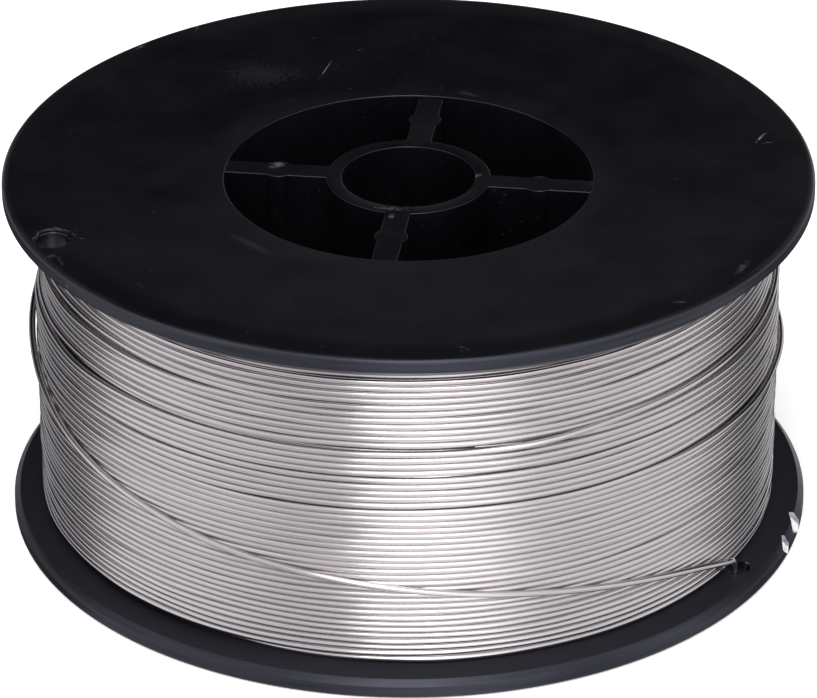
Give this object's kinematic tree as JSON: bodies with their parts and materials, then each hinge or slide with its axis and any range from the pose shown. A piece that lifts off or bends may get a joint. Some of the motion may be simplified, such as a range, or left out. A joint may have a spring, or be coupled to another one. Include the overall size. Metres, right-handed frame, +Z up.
{
  "type": "spool of welding wire",
  "caption": "Black moulded spool with dished flanges and a ribbed hub, wound full of bright drawn steel welding wire, its outer end hooked through a flange hole.",
  "frame": {"origin": "on the spool's axis, in the plane that the lower rim stands on", "axes": "+Z up along the axis of the bore, and -Y towards the side that the wire's outer end crosses"},
  "size_m": [0.1, 0.1, 0.0458],
  "materials": {
    "moulded_plastic": "satin moulded black",
    "drawn_wire": "bright drawn"
  },
  "bodies": {
    "root": {"spool": "moulded_plastic", "wire": "drawn_wire"}
  },
  "joints": []
}
